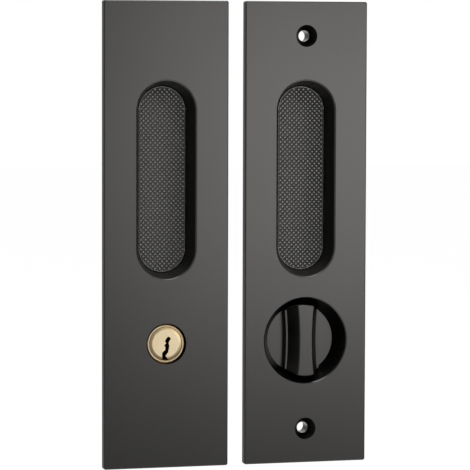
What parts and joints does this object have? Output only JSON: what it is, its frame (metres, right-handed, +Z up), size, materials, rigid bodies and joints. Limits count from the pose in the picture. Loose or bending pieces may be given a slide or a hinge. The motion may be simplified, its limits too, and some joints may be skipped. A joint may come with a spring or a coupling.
{
  "type": "sliding door lock",
  "caption": "Recessed sliding door lock: an outside plate with finger pull and key cylinder, and an inside plate with finger pull and thumb turn, laid side by side.",
  "frame": {"origin": "on the key cylinder's axis, in the plane of the outside plate's back, where it rests on the door", "axes": "+X to the right and +Z up as seen from the front, +Y into the door; both plates face -Y"},
  "size_m": [0.1068, 0.0365, 0.182],
  "materials": {
    "coated_casting": "satin",
    "embossed_sheet": "satin",
    "cylinder_brass": "satin",
    "plain_steel": "satin",
    "spring_steel": "satin"
  },
  "bodies": {
    "plates": {"outside_plate": "coated_casting", "outside_grip_insert": "embossed_sheet", "cylinder_shell": "cylinder_brass", "pin_cover": "cylinder_brass", "flange_screws": "plain_steel", "driver_pin_1": "cylinder_brass", "driver_pin_2": "cylinder_brass", "driver_pin_3": "cylinder_brass", "driver_pin_4": "cylinder_brass", "pin_spring_1": "spring_steel", "pin_spring_2": "spring_steel", "pin_spring_3": "spring_steel", "pin_spring_4": "spring_steel", "inside_plate": "coated_casting", "inside_grip_insert": "embossed_sheet"},
    "key_plug": {"cylinder_plug": "cylinder_brass", "key_pin_1": "cylinder_brass", "key_pin_2": "cylinder_brass", "key_pin_3": "cylinder_brass", "key_pin_4": "cylinder_brass", "plug_clip": "spring_steel", "tail_bar": "plain_steel", "tail_pin": "plain_steel"},
    "thumb_turn": {"thumb_knob": "coated_casting", "thumb_spindle": "plain_steel", "spring_washer": "spring_steel", "spindle_clip": "spring_steel"}
  },
  "joints": [
    {"name": "key_turn", "type": "hinge", "parent": "plates", "child": "key_plug", "pos_m": [0, 0, 0], "axis": [0, 1, 0], "range_deg": [-90, 90]},
    {"name": "thumb_turning", "type": "hinge", "parent": "plates", "child": "thumb_turn", "pos_m": [0.0568, 0, 0], "axis": [0, 1, 0], "range_deg": [-90, 90]}
  ]
}
